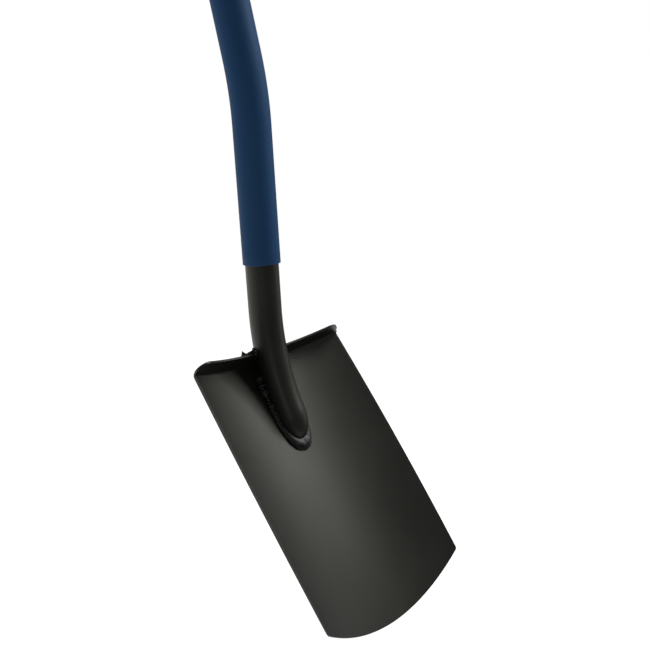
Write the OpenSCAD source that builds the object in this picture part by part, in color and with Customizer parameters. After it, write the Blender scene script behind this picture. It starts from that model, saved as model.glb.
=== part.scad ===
// Digging spade: a pressed steel blade welded to a cranked tubular shaft,
// with a plastic sleeve on the shaft and a D-shaped handle on top.
// The spade stands upright on its cutting edge: +Z runs up the straight part
// of the shaft, X runs across the blade, and the dished front faces -Y.

/* [Blade] */
// Width across the top of the blade
blade_w = 190; // [180:1:200]
// Width across the bottom corners
blade_w_low = 189; // [180:1:195]
// Height of the side edges, from the tread's fold to the bottom corners
side_len = 248.5; // [235:0.5:260]
// How far the cutting edge bows down below its corners
edge_bow = 24.5; // [18:0.5:30]
// How far each side edge bulges outwards halfway down
side_bulge = 1.8; // [1:0.1:3]
// Depth of the dish across the blade
dish_depth = 20.4; // [17:0.2:24]
// Thickness of the blade's steel
blade_t = 2; // [1.5:0.1:2.5]
// Radius of the bottom corners
corner_r = 4; // [2:0.5:8]

/* [Tread] */
// How far the tread stands forward of the blade's face
tread_depth = 19; // [15:0.5:22]
// Slope of the tread, upwards towards its free edge, in degrees
tread_slope = 7; // [2:1:10]
// Inner radius of the fold between the blade and the tread
fold_r = 2.5; // [2:0.5:4]
// Radius of the tread's front corners
tread_corner_r = 10; // [8:1:14]
// Gap between the tread's notch and the tube in it
notch_gap = 0.6; // [0.4:0.1:1]

/* [Shaft] */
// Outer diameter of the steel tube
tube_d = 32; // [30:0.5:33]
// Wall of the steel tube
tube_wall = 1.8; // [1.5:0.1:2.5]
// Height of the whole spade
height = 1000; // [960:5:1050]
// Where the tube's rounded nose begins, below the tread's fold
nose_drop = 58.5; // [56:0.5:61]
// Length of the nose
nose_len = 28.5; // [26:0.5:31]
// How far the tube's axis stands in front of the blade's face at the nose
nose_lift = 3; // [2:0.5:4]
// Angle between the tube and the blade at the nose
toe_angle = 9; // [8:0.5:10]
// Angle between the tube and the blade above the lower bend
crank_angle = 35.8; // [34.6:0.1:36.6]
// Angle between the straight upper shaft and the blade
lean = 23.7; // [22.7:0.1:24.5]
// Radius of the lower bend
low_bend_r = 222; // [216:1:228]
// Radius of the upper bend
high_bend_r = 303; // [290:1:320]
// Length of the straight run between the bends
crank_run = 170; // [160:1:180]

/* [Welds] */
// Width of the side beads on the blade
bead_w = 4.5; // [3.5:0.5:6]
// Height of the beads above the blade's face
bead_h = 4.5; // [3.5:0.5:6]
// Width of the bead at the tip of the nose
tip_bead_w = 9; // [7:0.5:11]
// Height of the burr at the left end of the bead across the tread
burr_h = 6; // [3:0.5:7]

/* [Sleeve] */
// Outer diameter of the plastic sleeve
sleeve_d = 36; // [35:0.5:37]
// Bare tube between the lower bend and the sleeve
sleeve_gap = 44; // [20:1:80]

/* [Handle] */
// Height of the handle, from its socket's rim to its top
handle_h = 165; // [160:1:175]
// Width over the ends of the crossbar
handle_w = 126; // [122:1:136]
// Outer diameter of the socket's rim
socket_d = 41; // [40:0.5:43]
// Depth of the tube in the socket
socket_depth = 48; // [44:1:50]
// Outer diameter of the grip
grip_d = 31; // [28:0.5:32]
// Length of the grip
grip_len = 92; // [84:1:94]
// Diameter of the rivet through the socket
rivet_d = 6; // [5:0.5:7]

/* [Hidden] */
$fn = 96;
far = 400;                      // longer than anything that it cuts
joint_step = 0.05;              // how much thinner a bend is than the runs it joins
tube_r = tube_d / 2;
sleeve_r = sleeve_d / 2;
steel_black = "#2b2b29";
weld_black = "#141414";
sleeve_blue = "#1c3450";
handle_black = "#1f1f21";
grip_grey = "#343639";
bare_steel = "#a9abad";

// The head's own frame has its origin at the middle of the tread's fold, on the
// chord between the blade's side edges: x across, y backwards, z up the blade.
function arc_radius(chord, rise) = (chord * chord / 4 + rise * rise) / (2 * rise);
dish_r = arc_radius(blade_w, dish_depth);
dish_y = dish_depth - dish_r;   // the dish's axis, in front of the blade
side_p = [blade_w / 2, 0];
side_q = [blade_w_low / 2, -side_len];
side_chord = norm(side_q - side_p);
side_r = arc_radius(side_chord, side_bulge);
side_out = [side_len, (blade_w_low - blade_w) / 2] / side_chord;
side_c = (side_p + side_q) / 2 - side_out * (side_r - side_bulge);
edge_r = arc_radius(blade_w_low, edge_bow);
edge_c = [0, edge_r - side_len - edge_bow];

// The tube's route in the head's frame; heading(a) leans forward by a from +z
function heading(a) = [0, -sin(a), cos(a)];
function bend_move(r, a, b) = r * [0, cos(b) - cos(a), sin(b) - sin(a)];
nose_p = [0, dish_depth - nose_lift, -nose_drop];
low_end_p = nose_p + bend_move(low_bend_r, toe_angle, crank_angle);
high_p = low_end_p + crank_run * heading(crank_angle);
straight_p = high_p - bend_move(high_bend_r, crank_angle, lean);

// Standing the spade up turns the head back by its lean
function turned(p) = [p.x, p.y * cos(lean) + p.z * sin(lean), p.z * cos(lean) - p.y * sin(lean)];
front_y = turned([0, 0, -side_len]).y;
back_y = turned([0, dish_depth + blade_t, 0]).y;
low_z = turned([0, dish_depth + blade_t, -side_len - edge_bow]).z;
lift = [0, -(front_y + back_y) / 2, -low_z];
shaft_y = turned(straight_p).y + lift.y;
straight_z = turned(straight_p).z + lift.z;
socket_z = height - handle_h;
tube_top = socket_z + socket_depth;
bar_z = handle_h - grip_d / 2;  // the crossbar's axis above the socket's rim
bar_r = 11;                     // the crossbar under the grip
boss_r = 14;                    // its end bosses
arm_r = 10;                     // the arms at their elbows
elbow = [50, 0, 96];            // where an arm turns upwards, above the rim
shoulder = [20, 0, 74];         // where an arm leaves the socket's neck
rivet_z = 26;                   // the rivet above the socket's rim
rivet_head_r = rivet_d * 0.95;
washer_r = rivet_d * 1.2;
washer_t = 1.2;

module stand() {
    translate(lift) rotate([-lean, 0, 0]) children();
}

module at_handle() {
    translate([0, shaft_y, socket_z]) children();
}

module mirrored_pair() {
    children();
    mirror([1, 0, 0]) children();
}

// A straight run of round bar from point p, leaning forward by a
module run(p, a, len, r) {
    translate(p) rotate([a, 0, 0]) cylinder(h = len, r = r);
}

// A bend of round bar from point p: it turns forward if b is more than a. It is a
// hair thinner than a run and reaches a little past its ends, so that it joins cleanly
module bend(p, a, b, bend_r, r) {
    side = b > a ? 1 : -1;
    centre = p - side * bend_r * [0, cos(a), sin(a)];
    over = 0.1;
    translate(centre) rotate([90, 0, 90])
        rotate_extrude(angle = abs(b - a) + 2 * over, start = min(a, b) - over + (side > 0 ? 0 : 180),
                       $fn = 1440)
            translate([bend_r, 0]) circle(r - joint_step, $fn = 96);
}

// The rounded nose: an ellipse turned about the tube's axis
module nose(r, len) {
    steps = 10;
    translate(nose_p) rotate([180 + toe_angle, 0, 0]) rotate_extrude()
        polygon([[0, 0], for (i = [0:steps]) [r * cos(90 * i / steps), len * sin(90 * i / steps)]]);
}

// Solid bar along the cranked part of the route, from the nose to the upper straight
module cranked_bar(r) {
    bend(nose_p, toe_angle, crank_angle, low_bend_r, r);
    run(low_end_p, crank_angle, crank_run, r);
    bend(high_p, crank_angle, lean, high_bend_r, r);
}

// Everything in front of a surface that lies off by the given distance from the blade's face
module before_face(off) {
    translate([0, dish_y, -far]) cylinder(h = 2 * far, r = dish_r - off, $fn = 720);
}

// ---- Blade ----

// Where two circles meet, on the left of the way from a to b
function circles_meet(a, ra, b, rb) =
    let (d = norm(b - a), u = (b - a) / d, along = (ra * ra - rb * rb + d * d) / (2 * d))
    a + u * along + [-u.y, u.x] * sqrt(ra * ra - along * along);
function angle_to(v) = atan2(v.y, v.x);
function arc(c, r, from, to, n) =
    [for (i = [0:n]) let (a = from + (to - from) * i / n) c + r * [cos(a), sin(a)]];

// The blade's outline seen from the front: cutting edge, rounded corners and sides
module blade_outline() {
    corner_c = circles_meet(edge_c, edge_r - corner_r, side_c, side_r - corner_r);
    edge_end = angle_to(corner_c - edge_c);
    side_start = angle_to(corner_c - side_c);
    right = concat(
        arc(edge_c, edge_r, -90, edge_end, 16),
        arc(corner_c, corner_r, edge_end, side_start, 6),
        arc(side_c, side_r, side_start, angle_to(side_p - side_c), 12),
        [side_p + [0, tread_depth]]
    );
    left = [for (i = [len(right) - 1:-1:1]) [-right[i].x, right[i].y]];
    polygon(concat(right, left));
}

// The waste outside one front corner of the tread, seen from above about the dish's axis
module tread_corner_waste() {
    free_r = dish_r - tread_depth;
    c_x = blade_w / 2 - tread_corner_r;
    c = [c_x, sqrt(pow(free_r + tread_corner_r, 2) - c_x * c_x)];
    t_side = c + [tread_corner_r, 0];
    t_free = c * free_r / (free_r + tread_corner_r);
    tip = [blade_w / 2 + 3, sqrt(free_r * free_r - blade_w * blade_w / 4) - 8];
    difference() {
        polygon([c, c + (t_side - c) * 1.5, tip, c + (t_free - c) * 1.5]);
        translate(c) circle(tread_corner_r + joint_step);
    }
}

// Height of the tread's upper face above the fold, at a radius from the dish's axis
function tread_top(r) = (dish_r - r) * tan(tread_slope) + blade_t / cos(tread_slope);

// Section of the sheet through the dish's axis: plate, fold and tread
module sheet_section() {
    fold_c = [dish_r - fold_r, -fold_r * tan(45 - tread_slope / 2)];
    free_r = dish_r - tread_depth;
    polygon(concat(
        [[dish_r, -far], [dish_r + blade_t, -far]],
        arc(fold_c, fold_r + blade_t, 0, 90 - tread_slope, 8),
        [[free_r, tread_top(free_r)], [free_r, tread_top(free_r) - blade_t / cos(tread_slope)]],
        arc(fold_c, fold_r, 90 - tread_slope, 0, 8)
    ));
}

module blade() {
    color(steel_black) stand() difference() {
        intersection() {
            translate([0, dish_y, 0]) rotate_extrude(angle = 60, start = 60, $fn = 720) sheet_section();
            translate([0, far / 2, 0]) rotate([90, 0, 0]) linear_extrude(far) blade_outline();
        }
        translate([0, dish_y, -fold_r - blade_t]) linear_extrude(tread_depth)
            mirrored_pair() tread_corner_waste();
        intersection() {
            cranked_bar(tube_r + notch_gap);
            translate([-far / 2, -far, -fold_r]) cube([far, far + dish_depth - 1, far]);
        }
    }
}

// ---- Shaft ----

module shaft_tube() {
    bore_r = tube_r - tube_wall;
    straight = tube_top - straight_z;
    color(steel_black) difference() {
        union() {
            stand() intersection() {
                union() {
                    cranked_bar(tube_r);
                    nose(tube_r, nose_len);
                }
                before_face(0);
            }
            translate([0, shaft_y, straight_z]) cylinder(h = straight, r = tube_r);
        }
        stand() {
            cranked_bar(bore_r);
            nose(bore_r, nose_len - tube_wall);
        }
        translate([0, shaft_y, straight_z]) cylinder(h = straight + 1, r = bore_r);
        rivet_bore();
    }
}

// ---- Welds ----

// The layer of the given height on the blade's face
module face_layer(h) {
    difference() {
        before_face(0);
        before_face(h);
    }
}

// The bead along one side of the tube, on +x
module side_bead() {
    top = -fold_r - blade_t;
    difference() {
        intersection() {
            bend(nose_p, toe_angle, crank_angle, low_bend_r, tube_r + bead_w);
            face_layer(bead_h);
            translate([0, -far / 2, -nose_drop]) cube([far, far, top + nose_drop - 8]);
        }
        cranked_bar(tube_r);
        translate([-far / 2, -far / 2, -nose_drop]) cube([far / 2 + 4, far, far]);
    }
}

module weld_right() {
    color(weld_black) stand() side_bead();
}

module weld_left() {
    color(weld_black) stand() mirror([1, 0, 0]) side_bead();
}

module weld_tip() {
    color(weld_black) stand() difference() {
        intersection() {
            nose(tube_r + bead_w, nose_len + tip_bead_w);
            face_layer(bead_h);
            translate([-far / 2, -far / 2, -far - nose_drop]) cube([far, far, far]);
        }
        nose(tube_r, nose_len);
        cranked_bar(tube_r);
    }
}

// A bead across the top of the tread, beside the tube, on +x, with a burr of the
// given height at its outer end
module tread_bead(burr) {
    bead_y = dish_depth - tread_depth + 4;
    top_z = tread_top(dish_r - tread_depth);
    inner = [tube_r, bead_y, top_z + 1];
    outer = [tube_r + 15, bead_y, top_z + 0.5];
    difference() {
        union() {
            hull() {
                translate(inner) sphere(3.6, $fn = 24);
                translate(outer) sphere(1.8, $fn = 24);
            }
            if (burr > 0) translate(outer) rotate([12, 18, 0])
                cylinder(h = burr, r1 = 2.4, r2 = 0.6);
        }
        cranked_bar(tube_r);
        below_tread_top();
    }
}

// Everything under the tread's upper face
module below_tread_top() {
    translate([0, dish_y, 0]) rotate_extrude($fn = 720)
        polygon([[0, -far], [far, -far], [far, tread_top(far)], [0, tread_top(0)]]);
}

module tread_weld_left() {
    color(weld_black) stand() mirror([1, 0, 0]) tread_bead(burr_h);
}

module tread_weld_right() {
    color(weld_black) stand() tread_bead(0);
}

// ---- Sleeve ----

module shaft_sleeve() {
    from = low_end_p + sleeve_gap * heading(crank_angle);
    run_len = crank_run - sleeve_gap;
    straight = socket_z - straight_z;
    color(sleeve_blue) difference() {
        union() {
            stand() {
                run(from, crank_angle, run_len, sleeve_r);
                bend(high_p, crank_angle, lean, high_bend_r, sleeve_r);
            }
            translate([0, shaft_y, straight_z]) cylinder(h = straight, r = sleeve_r);
        }
        stand() {
            run(from - heading(crank_angle), crank_angle, run_len + 1, tube_r);
            bend(high_p, crank_angle, lean, high_bend_r, tube_r);
        }
        translate([0, shaft_y, straight_z]) cylinder(h = straight + 1, r = tube_r);
    }
}

// ---- Handle ----

module rivet_bore() {
    at_handle() translate([0, far / 2, rivet_z]) rotate([90, 0, 0]) cylinder(h = far, r = rivet_d / 2);
}

module arm() {
    boss = [handle_w / 2 - boss_r, 0, bar_z];
    hull() {
        translate([0, 0, socket_depth + 4]) cylinder(h = 10, r = socket_d / 2 - 2, $fn = 32);
        translate(shoulder) sphere(arm_r + 3, $fn = 32);
    }
    hull() {
        translate(shoulder) sphere(arm_r + 3, $fn = 32);
        translate(elbow) sphere(arm_r, $fn = 32);
    }
    hull() {
        translate(elbow) sphere(arm_r, $fn = 32);
        translate(boss) rotate([0, 90, 0]) cylinder(h = boss_r, r = boss_r - 3, $fn = 32);
    }
}

module d_handle() {
    bar_len = handle_w - 2 * boss_r;
    color(handle_black) difference() {
        at_handle() {
            cylinder(h = socket_depth + 6, r1 = socket_d / 2, r2 = socket_d / 2 - 1.5);
            mirrored_pair() {
                arm();
                translate([grip_len / 2, 0, bar_z]) rotate([0, 90, 0])
                    cylinder(h = (handle_w - grip_len) / 2, r = boss_r);
            }
            translate([-bar_len / 2, 0, bar_z]) rotate([0, 90, 0]) cylinder(h = bar_len, r = bar_r);
        }
        at_handle() translate([0, 0, -1]) cylinder(h = socket_depth + 1, r = tube_r);
        rivet_bore();
    }
}

module hand_grip() {
    color(grip_grey) at_handle() translate([-grip_len / 2, 0, bar_z]) rotate([0, 90, 0])
        difference() {
            cylinder(h = grip_len, r = grip_d / 2);
            translate([0, 0, -1]) cylinder(h = grip_len + 2, r = bar_r);
        }
}

// A low dome, standing on z = 0
module rivet_dome(h) {
    ball_r = arc_radius(2 * rivet_head_r, h);
    intersection() {
        translate([0, 0, h - ball_r]) sphere(ball_r);
        cylinder(h = h + 1, r = rivet_head_r);
    }
}

module handle_rivet() {
    reach = socket_d / 2;
    dome_h = 2.4;
    color(bare_steel) at_handle() translate([0, 0, rivet_z]) {
        rotate([90, 0, 0]) translate([0, 0, -reach - washer_t])
            cylinder(h = 2 * reach + washer_t, r = rivet_d / 2);
        translate([0, -reach, 0]) rotate([90, 0, 0]) rivet_dome(dome_h);
        translate([0, reach + washer_t, 0]) rotate([-90, 0, 0]) rivet_dome(dome_h);
    }
}

module rivet_washer() {
    color(bare_steel) at_handle() translate([0, socket_d / 2, rivet_z]) rotate([-90, 0, 0])
        difference() {
            cylinder(h = washer_t, r = washer_r);
            translate([0, 0, -1]) cylinder(h = washer_t + 2, r = rivet_d / 2);
        }
}

blade();
shaft_tube();
weld_left();
weld_right();
weld_tip();
tread_weld_left();
tread_weld_right();
shaft_sleeve();
d_handle();
hand_grip();
handle_rivet();
rivet_washer();
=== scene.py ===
import math
import random
import bpy
import bmesh
from mathutils import Matrix, Vector


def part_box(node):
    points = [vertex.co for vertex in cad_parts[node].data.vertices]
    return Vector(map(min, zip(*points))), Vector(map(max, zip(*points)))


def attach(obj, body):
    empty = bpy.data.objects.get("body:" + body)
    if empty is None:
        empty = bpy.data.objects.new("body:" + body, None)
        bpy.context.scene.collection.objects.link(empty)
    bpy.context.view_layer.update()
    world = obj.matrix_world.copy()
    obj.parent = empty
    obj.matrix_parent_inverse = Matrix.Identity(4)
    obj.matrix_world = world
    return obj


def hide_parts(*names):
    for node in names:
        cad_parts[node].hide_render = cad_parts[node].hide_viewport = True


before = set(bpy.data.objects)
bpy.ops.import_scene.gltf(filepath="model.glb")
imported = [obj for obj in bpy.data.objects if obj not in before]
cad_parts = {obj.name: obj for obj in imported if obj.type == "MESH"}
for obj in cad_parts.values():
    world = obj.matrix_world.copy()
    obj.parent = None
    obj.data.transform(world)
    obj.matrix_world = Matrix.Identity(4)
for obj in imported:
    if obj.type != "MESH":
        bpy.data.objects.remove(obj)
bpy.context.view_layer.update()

mm = 0.001
scene = bpy.context.scene
scene.view_settings.view_transform = "Standard"


# the head's own frame: x across, y backwards, z up the blade, in mm
head = {
    "width": 190, "lowWidth": 189, "sideLen": 248.5, "edgeBow": 24.5, "sideBulge": 1.8,
    "dishDepth": 20.4, "sheet": 2, "corner": 4, "lean": 23.7,
}


def arcRadius(chord, rise):
    return (chord * chord / 4 + rise * rise) / (2 * rise)


dishR = arcRadius(head["width"], head["dishDepth"])
dishY = head["dishDepth"] - dishR   # the dish's axis, in front of the blade
lean = math.radians(head["lean"])


def turned(p):
    # the head leans back so that the upper shaft stands upright
    return Vector((p[0], p[1] * math.cos(lean) + p[2] * math.sin(lean),
                   p[2] * math.cos(lean) - p[1] * math.sin(lean)))


tipPoint = turned((0, head["dishDepth"] + head["sheet"], -head["sideLen"] - head["edgeBow"]))
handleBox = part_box("d_handle")
shaftY = (handleBox[0].y + handleBox[1].y) / 2 / mm
headShift = Vector((0, 0, -tipPoint.z))


def placed(p):
    # a point of the head's frame in metres, in the scene
    return (turned(p) + headShift) * mm


def beforeFace(p, off):
    # p, pushed forward if it lies deeper than off behind the blade's face
    out = Vector((p[0], p[1] - dishY))
    if out.length > dishR + off:
        out *= (dishR + off) / out.length
    return Vector((out.x, out.y + dishY, p[2]))


# the tube's route: angles lean forward from the blade's plane
route = {
    "noseDrop": 58.5, "noseLift": 3, "noseLen": 28.5, "toe": 9, "crank": 35.8,
    "lowBend": 222, "highBend": 303, "run": 170, "radius": 16,
}


def heading(angle):
    return Vector((0, -math.sin(angle), math.cos(angle)))


def bendPoints(start, a, b, radius, steps):
    # points along a bend, without its first one
    side = 1 if b > a else -1
    out = []
    for i in range(1, steps + 1):
        t = a + (b - a) * i / steps
        move = Vector((0, math.cos(t) - math.cos(a), math.sin(t) - math.sin(a)))
        out.append(start + move * radius * side)
    return out


def runPoints(start, angle, length, steps):
    return [start + heading(angle) * length * i / steps for i in range(1, steps + 1)]


toe, crank = math.radians(route["toe"]), math.radians(route["crank"])
nosePoint = Vector((0, head["dishDepth"] - route["noseLift"], -route["noseDrop"]))
lowBend = [nosePoint] + bendPoints(nosePoint, toe, crank, route["lowBend"], 40)
crankEnd = lowBend[-1] + heading(crank) * route["run"]
highBend = [crankEnd] + bendPoints(crankEnd, crank, lean, route["highBend"], 16)
headShift.y = shaftY - turned(highBend[-1]).y


def upperPoints(top, steps):
    # the straight upper stretch, up to the given height in the scene
    length = top / mm - placed(highBend[-1]).z / mm
    return runPoints(highBend[-1], lean, length, steps)


def tubeCentre(z):
    # the tube's middle at a height of the head's frame, within the lower bend
    for a, b in zip(lowBend, lowBend[1:]):
        if a.z <= z <= b.z:
            return a + (b - a) * (z - a.z) / (b.z - a.z)
    return lowBend[0] if z < lowBend[0].z else lowBend[-1]


print("route: the upper shaft stands at y = %.2f mm" % shaftY)


cameraView = {
    "azimuth": -45.94, "elevation": 4.24, "roll": 12.13, "distance": 822.6, "lens": 47.58,
    "aim": (34.8, -45.2, 15.3),   # from the middle of the tread's fold, in mm
}


def addCamera():
    az, el = math.radians(cameraView["azimuth"]), math.radians(cameraView["elevation"])
    back = Vector((math.sin(az) * math.cos(el), -math.cos(az) * math.cos(el), math.sin(el)))
    aim = placed((0, 0, 0)) + Vector(cameraView["aim"]) * mm
    data = bpy.data.cameras.new("camera")
    data.lens = cameraView["lens"]
    data.sensor_width = 36
    data.clip_start = 0.01
    data.clip_end = 100
    cam = bpy.data.objects.new("camera", data)
    scene.collection.objects.link(cam)
    turn = back.to_track_quat("Z", "Y").to_matrix().to_4x4()
    roll = Matrix.Rotation(math.radians(-cameraView["roll"]), 4, "Z")
    cam.matrix_world = Matrix.Translation(aim + back * cameraView["distance"] * mm) @ turn @ roll
    scene.camera = cam


addCamera()
print("camera ready")


def newNode(tree, kind, inputs=None, **settings):
    node = tree.nodes.new(kind)
    for name, value in settings.items():
        setattr(node, name, value)
    for name, value in (inputs or {}).items():
        if isinstance(value, bpy.types.NodeSocket):
            tree.links.new(value, node.inputs[name])
        else:
            node.inputs[name].default_value = value
    return node


def newShape(name, points, faces=(), edges=()):
    mesh = bpy.data.meshes.new(name)
    mesh.from_pydata([tuple(p) for p in points], edges, faces)
    obj = bpy.data.objects.new(name, mesh)
    scene.collection.objects.link(obj)
    return obj


def cleaned(obj):
    # merges doubles and points the faces outwards
    work = bmesh.new()
    work.from_mesh(obj.data)
    bmesh.ops.remove_doubles(work, verts=work.verts, dist=1e-6)
    bmesh.ops.recalc_face_normals(work, faces=work.faces)
    work.to_mesh(obj.data)
    work.free()
    return obj


def bridged(outer, inner):
    # joins two skins with the same points, one inside the other, into a closed wall
    work = bmesh.new()
    work.from_mesh(outer.data)
    rim = [e for e in work.edges if e.is_boundary]
    count = len(work.verts)
    work.from_mesh(inner.data)
    bpy.data.objects.remove(inner)
    work.verts.ensure_lookup_table()
    work.verts.index_update()
    for edge in rim:
        p, q = edge.verts
        work.faces.new((p, q, work.verts[q.index + count], work.verts[p.index + count]))
    work.to_mesh(outer.data)
    work.free()
    return cleaned(outer)


def baked(obj):
    # the evaluated mesh takes the object's mesh's place, and its modifiers go
    graph = bpy.context.evaluated_depsgraph_get()
    mesh = bpy.data.meshes.new_from_object(obj.evaluated_get(graph))
    obj.modifiers.clear()
    obj.data = mesh
    mesh.name = obj.name
    return obj


def withModifier(obj, kind, **settings):
    mod = obj.modifiers.new(kind.lower(), kind)
    for name, value in settings.items():
        setattr(mod, name, value)
    return mod


def cutBy(obj, cutter):
    withModifier(obj, "BOOLEAN", operation="DIFFERENCE", object=cutter, solver="EXACT")
    baked(obj)
    bpy.data.objects.remove(cutter)


def gridFaces(rows, closed=False):
    # quads between rows of equally many points; closed joins each row's ends
    width = len(rows[0])
    last = width if closed else width - 1
    return [(j * width + i, j * width + (i + 1) % width,
             (j + 1) * width + (i + 1) % width, (j + 1) * width + i)
            for j in range(len(rows) - 1) for i in range(last)]


def newGrid(name, rows, closed=False, capped=False):
    faces = gridFaces(rows, closed)
    if capped:
        count = len(rows) * len(rows[0])
        faces += [tuple(range(len(rows[0]))), tuple(range(count - len(rows[0]), count))]
    return newShape(name, [p for row in rows for p in row], faces)


def lathed(name, profile, centre, axis, sides=64):
    # turns (radius, distance along the axis) points about an axis through centre, in mm
    other = Vector(axis).orthogonal().normalized()
    third = Vector(axis).cross(other)
    rows = []
    for radius, along in profile:
        row = []
        for i in range(sides):
            t = 2 * math.pi * i / sides
            spoke = other * math.cos(t) + third * math.sin(t)
            row.append((Vector(centre) + Vector(axis) * along + spoke * radius) * mm)
        rows.append(row)
    return cleaned(newGrid(name, rows, closed=True))


def dressed(piece, finish, slot, *nodes, creased=35):
    # gives a finished piece its material and its place in the frame
    if finish.name not in piece.data.materials:
        piece.data.materials.clear()
        piece.data.materials.append(finish)
    piece.data.shade_smooth()
    piece.data.set_sharp_from_angle(angle=math.radians(creased))
    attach(piece, "root")
    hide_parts(*nodes)
    print("piece:", piece.name, len(piece.data.polygons), "faces")
    return piece


def newFinish(name, settings):
    mat = bpy.data.materials.new(name)
    mat.use_nodes = True
    tree = mat.node_tree
    shader = tree.nodes["Principled BSDF"]
    for socket, value in settings.items():
        shader.inputs[socket].default_value = value
    place = newNode(tree, "ShaderNodeTexCoord").outputs["Object"]
    return mat, tree, shader, place


def cloud(tree, place, scale, detail=2):
    return newNode(tree, "ShaderNodeTexNoise",
                   {"Vector": place, "Scale": scale, "Detail": detail}).outputs["Fac"]


def between(tree, value, low, high, fromLow=0.3, fromHigh=0.7):
    return newNode(tree, "ShaderNodeMapRange", {
        "Value": value, "From Min": fromLow, "From Max": fromHigh,
        "To Min": low, "To Max": high}).outputs["Result"]


def tinted(tree, value, dark, light):
    ramp = newNode(tree, "ShaderNodeValToRGB", {"Fac": value})
    ramp.color_ramp.elements[0].position = 0.3
    ramp.color_ramp.elements[1].position = 0.7
    ramp.color_ramp.elements[0].color = (*dark, 1)
    ramp.color_ramp.elements[1].color = (*light, 1)
    return ramp.outputs["Color"]


def raised(tree, height, depth, normal=None):
    inputs = {"Height": height, "Distance": depth * mm}
    if normal:
        inputs["Normal"] = normal
    return newNode(tree, "ShaderNodeBump", inputs).outputs["Normal"]


def powderCoat():
    # satin black coating, with a fine orange peel
    mat, tree, shader, place = newFinish("powderCoat", {
        "Specular IOR Level": 0.5, "Specular Tint": (1, 1, 0.89, 1)})
    patches = cloud(tree, place, 18, 3)
    peel = cloud(tree, place, 900, 2)
    grit = cloud(tree, place, 3200, 1)
    link = tree.links.new
    shade = tinted(tree, patches, (0.0130, 0.0134, 0.0112), (0.0172, 0.0178, 0.0148))
    link(shade, shader.inputs["Base Color"])
    link(between(tree, patches, 0.37, 0.41), shader.inputs["Roughness"])
    link(raised(tree, grit, 0.004, raised(tree, peel, 0.02)), shader.inputs["Normal"])
    return mat


def weldCoat():
    # the same coating where it ran thick and glossy over the welds
    mat, tree, shader, place = newFinish("weldCoat", {"Specular IOR Level": 0.38})
    patches = cloud(tree, place, 260, 3)
    peel = cloud(tree, place, 1100, 2)
    link = tree.links.new
    link(tinted(tree, patches, (0.006, 0.006, 0.006), (0.011, 0.011, 0.010)), shader.inputs["Base Color"])
    link(between(tree, patches, 0.24, 0.38), shader.inputs["Roughness"])
    link(raised(tree, peel, 0.012, raised(tree, patches, 0.05)), shader.inputs["Normal"])
    return mat


def sleevePlastic():
    # satin navy vinyl with a fine grain
    mat, tree, shader, place = newFinish("sleevePlastic", {"Specular IOR Level": 0.15})
    patches = cloud(tree, place, 30, 3)
    grain = cloud(tree, place, 1500, 2)
    pores = newNode(tree, "ShaderNodeTexVoronoi", {"Vector": place, "Scale": 1100}).outputs["Distance"]
    link = tree.links.new
    link(tinted(tree, grain, (0.017, 0.067, 0.170), (0.021, 0.080, 0.195)), shader.inputs["Base Color"])
    link(between(tree, patches, 0.52, 0.6), shader.inputs["Roughness"])
    link(raised(tree, pores, 0.02, raised(tree, grain, 0.03)), shader.inputs["Normal"])
    return mat


def blackMoulding():
    # textured black polypropylene
    mat, tree, shader, place = newFinish("blackMoulding", {"Specular IOR Level": 0.45})
    patches = cloud(tree, place, 25, 3)
    grain = newNode(tree, "ShaderNodeTexVoronoi", {"Vector": place, "Scale": 750}).outputs["Distance"]
    fine = cloud(tree, place, 2500, 1)
    link = tree.links.new
    link(tinted(tree, patches, (0.011, 0.011, 0.012), (0.016, 0.016, 0.017)), shader.inputs["Base Color"])
    link(between(tree, patches, 0.48, 0.58), shader.inputs["Roughness"])
    link(raised(tree, fine, 0.008, raised(tree, grain, 0.05)), shader.inputs["Normal"])
    return mat


def softGrip():
    # matt grey rubber
    mat, tree, shader, place = newFinish("softGrip", {
        "Specular IOR Level": 0.35, "Sheen Weight": 0.15, "Sheen Roughness": 0.5})
    patches = cloud(tree, place, 40, 3)
    fine = cloud(tree, place, 2200, 2)
    link = tree.links.new
    link(tinted(tree, patches, (0.020, 0.021, 0.023), (0.030, 0.031, 0.034)), shader.inputs["Base Color"])
    link(between(tree, patches, 0.66, 0.78), shader.inputs["Roughness"])
    link(raised(tree, fine, 0.03), shader.inputs["Normal"])
    return mat


def bareSteel():
    # zinc-plated steel, with faint turning marks and spots
    mat, tree, shader, place = newFinish("bareSteel", {"Metallic": 1.0})
    spots = cloud(tree, place, 900, 3)
    marks = newNode(tree, "ShaderNodeTexWave", {
        "Vector": place, "Scale": 900, "Distortion": 6, "Detail": 2}, bands_direction="Z").outputs["Fac"]
    link = tree.links.new
    link(tinted(tree, spots, (0.44, 0.44, 0.43), (0.60, 0.60, 0.59)), shader.inputs["Base Color"])
    link(between(tree, spots, 0.26, 0.42), shader.inputs["Roughness"])
    link(raised(tree, marks, 0.006), shader.inputs["Normal"])
    return mat


powderCoatMat = powderCoat()
weldCoatMat = weldCoat()
sleevePlasticMat = sleevePlastic()
blackMouldingMat = blackMoulding()
softGripMat = softGrip()
bareSteelMat = bareSteel()
print("materials ready")


def newTree(name, inputs):
    tree = bpy.data.node_groups.new(name, "GeometryNodeTree")
    for way in ("INPUT", "OUTPUT"):
        tree.interface.new_socket("Geometry", in_out=way, socket_type="NodeSocketGeometry")
    for label, kind in inputs.items():
        tree.interface.new_socket(label, in_out="INPUT", socket_type="NodeSocket" + kind)
    return tree, tree.nodes.new("NodeGroupInput")


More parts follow.
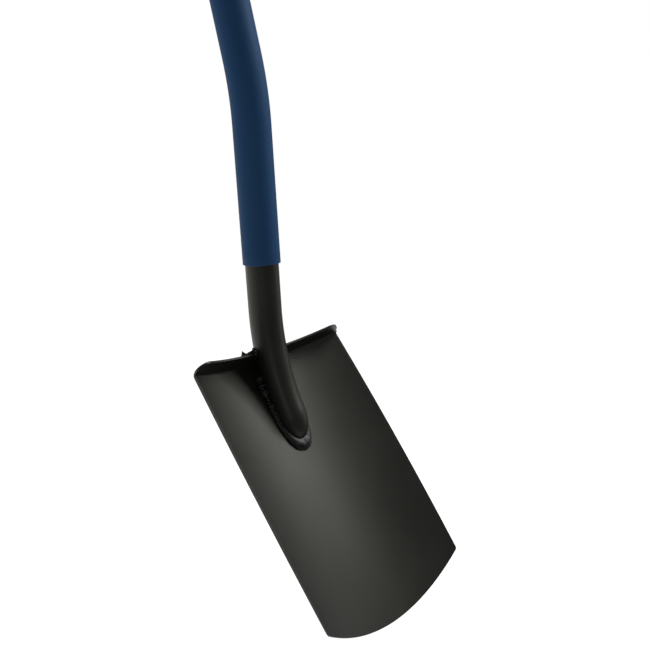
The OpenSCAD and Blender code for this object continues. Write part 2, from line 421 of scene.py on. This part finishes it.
def endTree(tree, start, geometry):
    smooth = newNode(tree, "GeometryNodeSetShadeSmooth", {"Geometry": geometry})
    real = newNode(tree, "GeometryNodeRealizeInstances", {"Geometry": smooth.outputs[0]})
    paint = newNode(tree, "GeometryNodeSetMaterial",
                    {"Geometry": real.outputs[0], "Material": start.outputs["Material"]})
    tree.links.new(paint.outputs[0], tree.nodes.new("NodeGroupOutput").inputs[0])
    return tree


def runTree(obj, tree, values):
    mod = obj.modifiers.new(tree.name, "NODES")
    mod.node_group = tree
    for item in tree.interface.items_tree:
        if item.in_out == "INPUT" and item.name in values:
            mod[item.identifier] = values[item.name]
    return baked(obj)


def pipeTree():
    # a round bar along a line of points; the thick attribute scales its radius
    tree, start = newTree("pipeAlongPath", {"Radius": "Float", "Sides": "Int", "Material": "Material"})
    thick = newNode(tree, "GeometryNodeInputNamedAttribute", {"Name": "thick"}, data_type="FLOAT")
    line = newNode(tree, "GeometryNodeMeshToCurve", {"Mesh": start.outputs["Geometry"]})
    ring = newNode(tree, "GeometryNodeCurvePrimitiveCircle",
                   {"Resolution": start.outputs["Sides"], "Radius": start.outputs["Radius"]})
    skin = newNode(tree, "GeometryNodeCurveToMesh", {
        "Curve": line.outputs[0], "Profile Curve": ring.outputs[0], "Scale": thick.outputs["Attribute"]})
    merged = newNode(tree, "GeometryNodeMergeByDistance", {"Geometry": skin.outputs[0], "Distance": 1e-6})
    return endTree(tree, start, merged.outputs[0])


def beadTree():
    # drops of weld metal on points, melted into one bead
    tree, start = newTree("weldBead", {
        "Voxel": "Float", "Spread": "Float", "Speck": "Int", "Seed": "Int", "Material": "Material"})
    read = {n: newNode(tree, "GeometryNodeInputNamedAttribute", {"Name": n},
                       data_type="FLOAT_VECTOR").outputs["Attribute"]
            for n in ("outward", "along", "size")}
    drop = newNode(tree, "GeometryNodeMeshIcoSphere", {"Radius": 1.0, "Subdivisions": 3})
    up = newNode(tree, "FunctionNodeAlignRotationToVector", {"Vector": read["outward"]}, axis="Z")
    faced = newNode(tree, "FunctionNodeAlignRotationToVector",
                    {"Rotation": up.outputs[0], "Vector": read["along"]}, axis="X", pivot_axis="Z")
    less = newNode(tree, "ShaderNodeMath", {0: 1.0, 1: start.outputs["Spread"]}, operation="SUBTRACT")
    more = newNode(tree, "ShaderNodeMath", {0: 1.0, 1: start.outputs["Spread"]}, operation="ADD")
    luck = newNode(tree, "FunctionNodeRandomValue", {"Seed": start.outputs["Seed"]},
                   data_type="FLOAT_VECTOR")
    tree.links.new(less.outputs[0], luck.inputs[0])
    tree.links.new(more.outputs[0], luck.inputs[1])
    size = newNode(tree, "ShaderNodeVectorMath", {0: read["size"], 1: luck.outputs[0]},
                   operation="MULTIPLY")
    drops = newNode(tree, "GeometryNodeInstanceOnPoints", {
        "Points": start.outputs["Geometry"], "Instance": drop.outputs["Mesh"],
        "Rotation": faced.outputs[0], "Scale": size.outputs[0]})
    real = newNode(tree, "GeometryNodeRealizeInstances", {"Geometry": drops.outputs[0]})
    fog = newNode(tree, "GeometryNodeMeshToVolume",
                  {"Mesh": real.outputs[0], "Voxel Size": start.outputs["Voxel"]},
                  resolution_mode="VOXEL_SIZE")
    melt = newNode(tree, "GeometryNodeVolumeToMesh",
                   {"Volume": fog.outputs[0], "Voxel Size": start.outputs["Voxel"]},
                   resolution_mode="VOXEL_SIZE")
    place = newNode(tree, "GeometryNodeInputPosition").outputs[0]
    blur = newNode(tree, "GeometryNodeBlurAttribute", {"Iterations": 6}, data_type="FLOAT_VECTOR")
    tree.links.new(place, blur.inputs[0])
    soft = newNode(tree, "GeometryNodeSetPosition",
                   {"Geometry": melt.outputs[0], "Position": blur.outputs[0]})
    # stray specks, of fewer points than Speck, are dropped
    island = newNode(tree, "GeometryNodeInputMeshIsland").outputs["Island Index"]
    points = newNode(tree, "GeometryNodeAccumulateField", {"Group ID": island}, data_type="INT")
    speck = newNode(tree, "FunctionNodeCompare", data_type="INT", operation="LESS_THAN")
    tree.links.new(points.outputs["Total"], speck.inputs[2])
    tree.links.new(start.outputs["Speck"], speck.inputs[3])
    whole = newNode(tree, "GeometryNodeDeleteGeometry",
                    {"Geometry": soft.outputs[0], "Selection": speck.outputs[0]})
    return endTree(tree, start, whole.outputs[0])


def ribTree():
    # round ribs at an even pitch along X, joined to the piece
    tree, start = newTree("gripRibs", {
        "Count": "Int", "First": "Vector", "Pitch": "Float", "Radius": "Float", "Rib": "Float",
        "Material": "Material"})
    step = newNode(tree, "ShaderNodeCombineXYZ", {"X": start.outputs["Pitch"]})
    line = newNode(tree, "GeometryNodeMeshLine", {
        "Count": start.outputs["Count"], "Start Location": start.outputs["First"],
        "Offset": step.outputs[0]})
    ring = newNode(tree, "GeometryNodeCurvePrimitiveCircle",
                   {"Resolution": 72, "Radius": start.outputs["Radius"]})
    wire = newNode(tree, "GeometryNodeCurvePrimitiveCircle",
                   {"Resolution": 12, "Radius": start.outputs["Rib"]})
    rib = newNode(tree, "GeometryNodeCurveToMesh",
                  {"Curve": ring.outputs[0], "Profile Curve": wire.outputs[0]})
    ribs = newNode(tree, "GeometryNodeInstanceOnPoints", {
        "Points": line.outputs[0], "Instance": rib.outputs[0], "Rotation": (0, math.pi / 2, 0)})
    both = newNode(tree, "GeometryNodeJoinGeometry")
    tree.links.new(ribs.outputs[0], both.inputs[0])
    tree.links.new(start.outputs["Geometry"], both.inputs[0])
    return endTree(tree, start, both.outputs[0])


pipeNodes = pipeTree()
beadNodes = beadTree()
ribNodes = ribTree()
print("node trees ready")


blade = {
    "across": 32, "cornerSteps": 4, "sideSteps": 40,   # half the columns, and the rows down a side
    "treadDepth": 19, "treadSlope": 7, "fold": 2.5, "foldSteps": 10, "treadCorner": 9.5, "treadSteps": 4,
    "treadFlare": (2.1, -7.5),   # how far the left and right ends stand out at the free edge
    "notchGap": 0.6, "edgeRound": 0.5,
}


slope = math.radians(blade["treadSlope"])
foldZ = -blade["fold"] * math.tan(math.pi / 4 - slope / 2)   # where the fold meets the plate


def flat(x, y):
    return Vector((x, y))


def arcPoints(centre, radius, a, b, steps):
    return [centre + flat(math.cos(t), math.sin(t)) * radius
            for t in (a + (b - a) * i / steps for i in range(steps + 1))]


def circlesMeet(a, ra, b, rb):
    # where two circles meet, on the left of the way from a to b
    gap = b - a
    along = (ra * ra - rb * rb + gap.length_squared) / (2 * gap.length)
    unit = gap.normalized()
    return a + unit * along + flat(-unit.y, unit.x) * math.sqrt(ra * ra - along * along)


def angleOf(v):
    return math.atan2(v.y, v.x)


def mirroredRow(right):
    # a row from left to right out of its right half, which starts in the middle
    return [flat(-p.x, p.y) for p in right[:0:-1]] + right


def patch(low, high, side):
    # rows of points from the low row to the high row; side runs up the right end of both
    n, m = len(low) - 1, len(side) - 1
    rows = []
    for j in range(m + 1):
        v, row = j / m, []
        for i in range(n + 1):
            u = i / n
            left = flat(-side[j].x, side[j].y)
            ends = (low[0] * (1 - u) + low[n] * u) * (1 - v) + (high[0] * (1 - u) + high[n] * u) * v
            row.append(low[i] * (1 - v) + high[i] * v + left * (1 - u) + side[j] * u - ends)
        rows.append(row)
    return rows


def plateRows():
    # the plate below the fold, as rows of (x, z) from the fold down to the cutting edge
    edgeR = arcRadius(head["lowWidth"], head["edgeBow"])
    edgeC = flat(0, edgeR - head["sideLen"] - head["edgeBow"])
    p, q = flat(head["width"] / 2, 0), flat(head["lowWidth"] / 2, -head["sideLen"])
    sideR = arcRadius((q - p).length, head["sideBulge"])
    out = flat(head["sideLen"], q.x - p.x).normalized()
    sideC = (p + q) / 2 - out * (sideR - head["sideBulge"])
    cornerC = circlesMeet(edgeC, edgeR - head["corner"], sideC, sideR - head["corner"])
    edgeEnd, sideStart = angleOf(cornerC - edgeC), angleOf(cornerC - sideC)
    middle = (edgeEnd + sideStart) / 2
    sideTop = math.asin((foldZ - sideC.y) / sideR)
    steps = blade["cornerSteps"]
    low = arcPoints(edgeC, edgeR, -math.pi / 2, edgeEnd, blade["across"] - steps)
    low += arcPoints(cornerC, head["corner"], edgeEnd, middle, steps)[1:]
    side = arcPoints(sideC, sideR, sideTop, sideStart, blade["sideSteps"])
    side += arcPoints(cornerC, head["corner"], sideStart, middle, steps)[1:]
    top = [flat(side[0].x * i / blade["across"], foldZ) for i in range(blade["across"] + 1)]
    return patch(mirroredRow(top), mirroredRow(low), side), [p.x for p in mirroredRow(top)]


def treadRows(columns, foldEndR):
    # the tread's underside in plan about the dish's axis, from the fold to the free edge
    halfW, freeR = columns[-1], dishR - blade["treadDepth"]
    cx = halfW - blade["treadCorner"]
    corner = flat(cx, math.sqrt((freeR + blade["treadCorner"]) ** 2 - cx * cx))
    last = angleOf(-corner)
    steps = blade["treadSteps"]
    start = flat(halfW, math.sqrt(foldEndR ** 2 - halfW ** 2))
    side = [start.lerp(flat(halfW, corner.y), i / steps) for i in range(steps + 1)]
    side += arcPoints(corner, blade["treadCorner"], 0, last / 2, steps)[1:]
    free = arcPoints(flat(0, 0), freeR, math.pi / 2, angleOf(corner), blade["across"] - steps)
    free += arcPoints(corner, blade["treadCorner"], last, last / 2, steps)[1:]
    start = [flat(x, math.sqrt(foldEndR ** 2 - x * x)) for x in columns]
    return patch(start, mirroredRow(free), side)


def bladeSkin(name, off):
    # one side of the sheet, off behind its front: plate, fold and tread
    bend = blade["fold"] + off
    plate, columns = plateRows()
    rows = [[(p.x, dishY + math.sqrt((dishR + off) ** 2 - p.x ** 2), p.y) for p in row]
            for row in reversed(plate)]
    for i in range(1, blade["foldSteps"] + 1):
        t = (math.pi / 2 - slope) * i / blade["foldSteps"]
        r = dishR - blade["fold"] + bend * math.cos(t)
        z = foldZ + bend * math.sin(t)
        rows.append([(x, dishY + math.sqrt(r * r - x * x), z) for x in columns])
    for row in treadRows(columns, r)[1:]:
        line = []
        for p in row:
            forward = dishR - p.length
            flare = blade["treadFlare"][p.x > 0] * math.sqrt(forward / blade["treadDepth"])
            z = forward * math.tan(slope) + off / math.cos(slope)
            line.append((p.x * (1 + flare / columns[-1]), dishY + p.y, z))
        rows.append(line)
    return newGrid(name, [[placed(p) for p in row] for row in rows])


def notchCutter():
    # the tube's room through the tread
    rows = []
    for z in (-3, -1, 1, 3, 5, 7, 9):
        middle = tubeCentre(z)
        tilt = tubeCentre(z + 1) - tubeCentre(z - 1)
        stretch = tilt.length / tilt.z
        reach = route["radius"] + blade["notchGap"]
        rows.append([placed((reach * math.cos(t), middle.y + reach * stretch * math.sin(t), z))
                     for t in (2 * math.pi * i / 96 for i in range(96))])
    return cleaned(newGrid("notchCutter", rows, closed=True, capped=True))


def buildBlade():
    sheet = bridged(bladeSkin("bladeSheet", 0), bladeSkin("bladeBack", head["sheet"]))
    withModifier(sheet, "BEVEL", width=blade["edgeRound"] * mm, segments=3, limit_method="ANGLE",
                 angle_limit=math.radians(50))
    baked(sheet)
    cutBy(sheet, notchCutter())
    return dressed(cleaned(sheet), powderCoatMat, "powder_coat", "blade")


buildBlade()


shaft = {
    "bore": 14.2, "sides": 96, "noseSteps": 14, "sunk": 0.5,
    "sleeve": 18, "sleeveGap": 44, "rimRound": 0.5,
}


def pathShape(name, points, thick):
    # a line of points in the scene, each with its share of the full radius
    line = newShape(name, [placed(p) for p in points],
                    edges=[(i, i + 1) for i in range(len(points) - 1)])
    share = line.data.attributes.new("thick", "FLOAT", "POINT")
    share.data.foreach_set("value", thick)
    return line


def tubeSkin(name, radius, noseLen, off):
    # the closed-nosed skin of the tube, kept in front of the blade's face
    steps = shaft["noseSteps"]
    nose = []
    for i in range(steps):
        t = math.pi / 2 * (1 - i / steps)
        nose.append((nosePoint - heading(toe) * noseLen * math.sin(t), math.cos(t) if i else 0))
    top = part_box("shaft_tube")[1].z
    rest = lowBend + runPoints(lowBend[-1], crank, route["run"], 12) + highBend[1:] + upperPoints(top, 12)
    line = pathShape(name, [p for p, t in nose] + rest, [t for p, t in nose] + [1.0] * len(rest))
    runTree(line, pipeNodes, {"Radius": radius * mm, "Sides": shaft["sides"], "Material": powderCoatMat})
    for v in line.data.vertices:
        p = headPoint(v.co)
        if p.z < 0:
            v.co = placed(beforeFace(p, off))
    return line


def headPoint(co):
    # a scene point back in the head's frame
    p = co / mm - headShift
    return Vector((p.x, p.y * math.cos(lean) - p.z * math.sin(lean),
                   p.z * math.cos(lean) + p.y * math.sin(lean)))


def buildTube():
    outer = tubeSkin("shaftTube", route["radius"], route["noseLen"], shaft["sunk"])
    wall = route["radius"] - shaft["bore"]
    inner = tubeSkin("tubeBore", shaft["bore"], route["noseLen"] - wall, -shaft["sunk"])
    return dressed(bridged(outer, inner), powderCoatMat, "powder_coat", "shaft_tube")


def buildSleeve():
    start = lowBend[-1] + heading(crank) * shaft["sleeveGap"]
    length = route["run"] - shaft["sleeveGap"]
    points = [start] + runPoints(start, crank, length, 12) + highBend[1:]
    points += upperPoints(handleBox[0].z, 24)
    sleeve = pathShape("shaftSleeve", points, [1.0] * len(points))
    runTree(sleeve, pipeNodes, {"Radius": shaft["sleeve"] * mm, "Sides": shaft["sides"],
                                "Material": sleevePlasticMat})
    cleaned(sleeve)
    far = max(sleeve.data.polygons, key=lambda f: f.center.x)
    if far.normal.x < 0:
        sleeve.data.flip_normals()
    withModifier(sleeve, "SOLIDIFY", thickness=(shaft["sleeve"] - route["radius"]) * mm, offset=-1)
    withModifier(sleeve, "BEVEL", width=shaft["rimRound"] * mm, segments=3, limit_method="ANGLE",
                 angle_limit=math.radians(50))
    baked(sleeve)
    return dressed(sleeve, sleevePlasticMat, "blue_sleeve", "shaft_sleeve")


buildTube()
buildSleeve()


weld = {
    "voxel": 0.4, "speck": 200, "seed": 11, "pitch": 2.8,
    "ringCrest": (15.0, 30.0), "ringCentre": (-1.4, 60),   # the tip bead's crest, an ellipse
    "tipDrops": 48, "tipLift": 0.8,
    "tipWide": (4.4, 3.6), "tipTall": 3.5,   # half its width at the sides, and how much more below
    "blob": (0.62, 0.67),                    # where the bead ran over, low on the right
    "blobOut": 1.16, "blobSize": 2.6,
    "fillet": (3.1, 6.6), "leftMore": 1.25,  # the side beads' radius, at the nose and at the top
    "sideTop": 13, "sunk": 1.2,
    "treadDrops": 8, "treadReach": 14, "treadSize": (3.5, 1.6),   # sizes at the tube and at the end
    "notchDrops": 9, "notchTurn": (6, 9), "notchSize": 2.2,       # first angle and step round the tube
    "spurDrops": 10, "spurX": 30, "spurWide": (4.6, 0.7), "spurThick": (2.2, 0.7),   # foot and point
    "lumps": [(26.5, 0.5, 1.8), (24, 0.9, 2.0), (21.5, 1.1, 2.2), (19, 1.3, 2.3), (17, 2.4, 2.3),
              (16.2, 4.6, 1.5), (16.8, -1.6, 2.4)],   # across, rise and size of the left bead's lumps
}
across, upward = Vector((1, 0, 0)), Vector((0, 0, 1))


def faceDrop(w, drop, lift):
    # a point w across and drop below the fold, lifted off the blade's face
    t = math.asin(w / dishR)
    r = dishR - lift
    return (Vector((r * math.sin(t), dishY + r * math.cos(t), -drop)),
            Vector((-math.sin(t), -math.cos(t), 0)))


def tipDrops():
    (a, b), (wide, more) = weld["ringCrest"], weld["tipWide"]
    middle, down = weld["ringCentre"]

    def onRing(t, out=1.0):
        w = middle - a * out * math.cos(t)
        return faceDrop(w, down + b * out * math.sin(t), weld["tipLift"])

    drops = []
    for i in range(weld["tipDrops"]):
        t = math.pi * (i + 0.5) / weld["tipDrops"]
        at, up = onRing(t)
        along = Vector((a * math.sin(t), 0, -b * math.cos(t))).normalized()
        drops.append((at, up, along, (2.2, wide + more * math.sin(t) ** 3, weld["tipTall"])))
    for share in weld["blob"]:
        at, up = onRing(math.pi * share, weld["blobOut"])
        drops.append((at, up, upward, (weld["blobSize"],) * 3))
    return drops


def sideDrops(side, rough, more):
    rng = random.Random(weld["seed"])
    low, high = weld["ringCentre"][1], weld["sideTop"]
    count = int((low - high) / weld["pitch"])
    drops = []
    for i in range(count + 1):
        share = i / count
        drop = low - (low - high) * share
        ball = (weld["fillet"][0] + (weld["fillet"][1] - weld["fillet"][0]) * share) * more
        lift = 0.3 * ball
        tubeLift = head["dishDepth"] - tubeCentre(-drop).y
        w = math.sqrt((route["radius"] + lift) ** 2 - (tubeLift - lift) ** 2)
        w += rng.uniform(-0.5, 0.5) * rough
        at, up = faceDrop(side * w, drop + rng.uniform(-0.5, 0.5) * rough, lift)
        fromTube = at - tubeCentre(-drop)
        outward = (up + Vector((fromTube.x, fromTube.y, 0)).normalized()).normalized()
        size = ball * (1 + rng.uniform(-0.2, 0.14) * rough)
        drops.append((at, outward, upward, (2.4, size, size * 0.8)))
    return drops


def treadDrops(side, spur):
    # drops across the tread's free edge, beside the tube
    rng = random.Random(weld["seed"] + 1)
    drops = []
    big, less = weld["treadSize"][0], weld["treadSize"][0] - weld["treadSize"][1]
    for i in range(weld["treadDrops"]):
        share = i / (weld["treadDrops"] - 1)
        x = route["radius"] - 0.5 + weld["treadReach"] * share
        y = head["dishDepth"] - blade["treadDepth"] + 4 - x * x / (2 * dishR)
        z = blade["treadDepth"] * math.tan(slope) + head["sheet"] + 0.2
        size = big - less * share
        at = Vector((side * x, y + rng.uniform(-0.4, 0.4), z))
        drops.append((at, upward, across, (2.2, size, size * 0.5)))
    first, step = weld["notchTurn"]
    wide = weld["notchSize"]
    for i in range(weld["notchDrops"]):      # along the notch, behind the tube's side
        t = math.radians(first + step * i)
        reach = route["radius"] + 0.4
        at = Vector((side * reach * math.cos(t), tubeCentre(3).y + reach * math.sin(t), 0))
        at.z = (head["dishDepth"] - at.y) * math.tan(slope) + head["sheet"] + 0.1
        drops.append((at, upward, across, (wide, wide, 1.5)))
    if not spur:
        return drops
    (wide, tipWide), (thick, tipThick) = weld["spurWide"], weld["spurThick"]
    for i in range(weld["spurDrops"]):
        rise = i / (weld["spurDrops"] - 1)
        at = Vector((side * (weld["spurX"] - 0.2 * rise), y - 1, z + spur * rise))
        size = (wide - (wide - tipWide) * rise, thick - (thick - tipThick) * rise, 1.4)
        drops.append((at, upward, across, size))
    for x, rise, size in weld["lumps"]:
        at = Vector((side * x, y - 1.5, z + rise))
        drops.append((at, upward, across, (size, size, size)))
    return drops


def buildWeld(name, node, drops, spread):
    cloudOf = newShape(name, [placed(d[0]) for d in drops])
    data = cloudOf.data.attributes
    for label, values in (("outward", [turned(d[1]) for d in drops]),
                          ("along", [turned(d[2]) for d in drops]),
                          ("size", [Vector(d[3]) * mm for d in drops])):
        field = data.new(label, "FLOAT_VECTOR", "POINT")
        field.data.foreach_set("vector", [c for v in values for c in v])
    runTree(cloudOf, beadNodes, {"Voxel": weld["voxel"] * mm, "Spread": spread, "Speck": weld["speck"],
                                 "Seed": weld["seed"], "Material": weldCoatMat})
    for v in cloudOf.data.vertices:
        p = headPoint(v.co)
        if p.z < -3:
            v.co = placed(beforeFace(p, weld["sunk"]))
    return dressed(cloudOf, weldCoatMat, "coated_weld", node, creased=80)


buildWeld("weldTip", "weld_tip", tipDrops(), 0.05)
buildWeld("weldLeft", "weld_left", sideDrops(-1, 1.7, weld["leftMore"]), 0.2)
buildWeld("weldRight", "weld_right", sideDrops(1, 0.4, 1), 0.05)
buildWeld("treadWeldLeft", "tread_weld_left", treadDrops(-1, 5), 0.08)
buildWeld("treadWeldRight", "tread_weld_right", treadDrops(1, 0), 0.05)


handle = {
    "voxel": 0.9, "smooth": 4, "around": 32, "roundness": 0.85,
    "arm": [(0, 50, 15, 16), (9, 63, 15, 15), (23, 76, 13, 13.5), (39, 87, 10.5, 12), (50, 99, 9.5, 11.5),
            (55, 115, 9, 11), (56.5, 132, 9, 11), (56.5, 147, 9.5, 11)],   # x, z, half width, half depth
    "collar": [(0, 0), (20.1, 0), (20.5, 0.5), (20.5, 6.5), (20.1, 7), (19.7, 7.5), (19, 50),
               (17.5, 56), (0, 58)],   # radius, height
    "bossR": 13.6, "boss": (46.5, 63), "barR": 11, "barEnd": 50, "padR": 9, "padEnd": 20.4,
    "pockets": [(0.30, 0.47), (0.51, 0.66), (0.70, 0.86)], "pocketDepth": 2.4, "pocketRim": 3.6,
}
socketZ = handleBox[0].z / mm
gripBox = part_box("hand_grip")
barZ = (gripBox[0].z + gripBox[1].z) / 2 / mm - socketZ
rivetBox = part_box("handle_rivet")
rivetZ = (rivetBox[0].z + rivetBox[1].z) / 2 / mm - socketZ
rivetY = (rivetBox[0].y / mm - shaftY, rivetBox[1].y / mm - shaftY)


def atHandle(p):
    # a point given from the middle of the socket's rim
    return Vector((p[0], shaftY + p[1], socketZ + p[2])) * mm


def armStation(share):
    # the arm's middle, direction and half sizes at a share of its length, on a smooth curve
    keys = [Vector(k) for k in handle["arm"]]
    keys = [keys[0] * 2 - keys[1]] + keys + [keys[-1] * 2 - keys[-2]]
    place = share * (len(keys) - 3)
    i = min(int(place), len(keys) - 4)
    t = place - i
    a, b, c, d = keys[i:i + 4]
    square, cube = a * 2 - b * 5 + c * 4 - d, b * 3 - a - c * 3 + d
    here = (b * 2 + (c - a) * t + square * t * t + cube * t ** 3) / 2
    way = (c - a) + square * 2 * t + cube * 3 * t * t
    return here, Vector((way.x, way.y)).normalized()


def armSweep(name, side, first, last, steps, ring):
    # ring gives (across, depth) points for the half sizes at each station
    rows = []
    for i in range(steps + 1):
        here, way = armStation(first + (last - first) * i / steps)
        rows.append([atHandle((side * (here.x + way.y * u), v, here.y - way.x * u))
                     for u, v in ring(here.z, here.w)])
    return cleaned(newGrid(name, rows, closed=True, capped=True))


def armRing(wide, deep):
    out = []
    for i in range(handle["around"]):
        t = 2 * math.pi * i / handle["around"]
        c, s = math.cos(t), math.sin(t)
        k = handle["roundness"]
        out.append((math.copysign(abs(c) ** k, c) * wide, math.copysign(abs(s) ** k, s) * deep))
    return out


def pocketRing(face):
    def ring(wide, deep):
        w = wide - handle["pocketRim"]
        a, b = face * (deep - handle["pocketDepth"]), face * (deep + 4)
        return [(-w, a), (w, a), (w, b), (-w, b)]
    return ring


def mergedShapes(name, parts):
    work = bmesh.new()
    for part in parts:
        work.from_mesh(part.data)
        bpy.data.objects.remove(part)
    whole = newShape(name, [])
    work.to_mesh(whole.data)
    work.free()
    return whole


def buildHandle():
    centre = (0, shaftY, socketZ)
    barCentre = (0, shaftY, socketZ + barZ)
    r, (a, b) = handle["bossR"], handle["boss"]
    parts = [lathed("collar", handle["collar"], centre, (0, 0, 1), 96)]
    for side in (-1, 1):
        parts.append(armSweep("arm", side, 0, 1, 48, armRing))
        profile = [(0, a), (r - 1.2, a), (r, a + 1.2), (r, b - 3), (r - 1, b - 1), (r - 3, b), (0, b)]
        parts.append(lathed("boss", profile, barCentre, (side, 0, 0)))
    barR, barEnd = handle["barR"], handle["barEnd"]
    bar = [(0, -barEnd), (barR, -barEnd), (barR, barEnd), (0, barEnd)]
    parts.append(lathed("bar", bar, barCentre, (1, 0, 0)))
    padR, padEnd = handle["padR"], handle["padEnd"]
    pad = [(0, -padEnd), (padR - 0.5, -padEnd), (padR, 0.5 - padEnd), (padR, padEnd - 0.5),
           (padR - 0.5, padEnd), (0, padEnd)]
    parts.append(lathed("pad", pad, (0, shaftY, socketZ + rivetZ), (0, 1, 0)))
    whole = mergedShapes("dHandle", parts)
    withModifier(whole, "REMESH", mode="VOXEL", voxel_size=handle["voxel"] * mm)
    baked(whole)
    pockets = [armSweep("pocket", side, first, last, 10, pocketRing(face))
               for side in (-1, 1) for face in (-1, 1) for first, last in handle["pockets"]]
    cutBy(whole, mergedShapes("pockets", pockets))
    withModifier(whole, "REMESH", mode="VOXEL", voxel_size=handle["voxel"] * mm)
    withModifier(whole, "SMOOTH", factor=0.5, iterations=handle["smooth"])
    baked(whole)
    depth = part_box("shaft_tube")[1].z / mm - socketZ
    bore = [(0, -2), (route["radius"] + 0.02, -2), (route["radius"] + 0.02, depth), (0, depth)]
    cutBy(whole, lathed("bore", bore, centre, (0, 0, 1), 96))
    return dressed(whole, blackMouldingMat, "black_moulding", "d_handle", creased=50)


buildHandle()


grip = {"core": 14.5, "ribs": 25, "rib": 1.0, "end": 5, "collar": 15.4, "soft": 0.8,
        "ribGap": 2.6}   # from a collar to the middle of the first rib


def buildGrip():
    high = gripBox[1].x / mm
    core, collar, end = grip["core"], grip["collar"], grip["end"]
    barR, soft = handle["barR"], grip["soft"]
    half = [(barR, high - 0.01), (collar - soft, high - 0.01), (collar, high - soft),
            (collar, high - end), (core, high - end - soft)]
    profile = [(r, -x) for r, x in half] + half[::-1] + [(barR, 0.01 - high)]
    piece = lathed("handGrip", profile, (0, shaftY, socketZ + barZ), (1, 0, 0), 96)
    reach = high - end - grip["ribGap"]
    runTree(piece, ribNodes, {
        "Count": grip["ribs"], "First": atHandle((-reach, 0, barZ)),
        "Pitch": 2 * reach * mm / (grip["ribs"] - 1), "Radius": (core - 0.1) * mm,
        "Rib": grip["rib"] * mm, "Material": softGripMat})
    return dressed(piece, softGripMat, "soft_grip", "hand_grip")


rivet = {"domeH": 2.4, "shank": 3, "washer": 1.2, "rim": 0.2}


def buildRivet():
    # two low domes joined by the shank
    r = (rivetBox[1].z - rivetBox[0].z) / 2 / mm
    domeH, shank, washerT = rivet["domeH"], rivet["shank"], rivet["washer"]
    dome = [(r * math.cos(t), domeH * math.sin(t)) for t in (math.pi / 2 * i / 10 for i in range(11))]
    front, back = rivetY[0] + domeH, rivetY[1] - domeH
    profile = [(p, front - h) for p, h in reversed(dome)] + [(shank, front), (shank, back)]
    profile += [(p, back + h) for p, h in dome]
    piece = lathed("handleRivet", profile, (0, shaftY, socketZ + rivetZ), (0, 1, 0))
    dressed(piece, bareSteelMat, "bare_steel", "handle_rivet", creased=50)
    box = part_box("rivet_washer")
    wide, rim = (box[1].z - box[0].z) / 2 / mm, rivet["rim"]
    front = back - washerT
    ring = [(shank, front), (wide - rim, front), (wide, front + rim), (wide, back - rim),
            (wide - rim, back), (shank, back), (shank, front)]
    washer = lathed("rivetWasher", ring, (0, shaftY, socketZ + rivetZ), (0, 1, 0))
    dressed(washer, bareSteelMat, "bare_steel", "rivet_washer")


buildGrip()
buildRivet()


studio = {
    "floor": 0.3, "glow": 1.0, "behind": 1.0, "front": 0.13,
    "bright": (-0.1, 1, -1.4), "fade": (0.15, 0.9),   # the bright side's direction, and where it begins
    "boxes": [   # direction from the blade, distance, width, height in metres, watts
        ("keyBox", (0.72, -0.52, 0.57), 1.7, 0.8, 1.2, 9.5),
        ("topBox", (-0.1, 0.5, 1.0), 2.6, 2.0, 2.0, 16),
        ("highBox", (0.8, -0.45, 1.25), 1.7, 0.7, 0.7, 9),
        ("frontBox", (-0.75, -0.66, 0.14), 2.0, 0.5, 0.5, 1.1),
        ("sideBox", (0.9, -0.36, 0.12), 1.7, 0.5, 1.4, 1.4),
    ],
}


def addFloor():
    floor = newShape("floor", [(-30, -30, 0), (30, -30, 0), (30, 30, 0), (-30, 30, 0)], [(0, 1, 2, 3)])
    mat = bpy.data.materials.new("paleFloor")
    mat.use_nodes = True
    shader = mat.node_tree.nodes["Principled BSDF"]
    tone = studio["floor"]
    shader.inputs["Base Color"].default_value = (tone, tone, tone, 1)
    shader.inputs["Roughness"].default_value = 0.9
    shader.inputs["Specular IOR Level"].default_value = 0.1
    shader.inputs["Emission Color"].default_value = (1, 1, 1, 1)
    shader.inputs["Emission Strength"].default_value = studio["glow"]
    floor.data.materials.append(mat)
    floor.visible_diffuse = False     # the room lights the spade, and not the floor
    floor.visible_glossy = False


def addSoftbox(name, toward, distance, width, height, watts):
    light = bpy.data.lights.new(name, "AREA")
    light.shape = "RECTANGLE"
    light.size = width
    light.size_y = height
    light.energy = watts
    box = bpy.data.objects.new(name, light)
    scene.collection.objects.link(box)
    way = Vector(toward).normalized()
    box.matrix_world = (Matrix.Translation(placed((0, 0, -130)) + way * distance)
                        @ way.to_track_quat("Z", "Y").to_matrix().to_4x4())


def addWorld():
    # a pale room that is brighter behind the spade than in front of it
    world = bpy.data.worlds.new("studio")
    scene.world = world
    world.use_nodes = True
    tree = world.node_tree
    tree.nodes.clear()
    way = newNode(tree, "ShaderNodeTexCoord").outputs["Generated"]
    facing = newNode(tree, "ShaderNodeVectorMath", {0: way, 1: studio["bright"]}, operation="DOT_PRODUCT")
    light = between(tree, facing.outputs["Value"], studio["front"], studio["behind"], *studio["fade"])
    room = newNode(tree, "ShaderNodeBackground", {"Color": (1, 1, 1, 1), "Strength": light})
    plain = newNode(tree, "ShaderNodeBackground", {"Color": (1, 1, 1, 1), "Strength": 1.0})
    seen = newNode(tree, "ShaderNodeLightPath").outputs["Is Camera Ray"]
    mix = newNode(tree, "ShaderNodeMixShader", {0: seen, 1: room.outputs[0], 2: plain.outputs[0]})
    tree.links.new(mix.outputs[0], newNode(tree, "ShaderNodeOutputWorld").inputs["Surface"])


addFloor()
for box in studio["boxes"]:
    addSoftbox(*box)
addWorld()
print("studio ready")
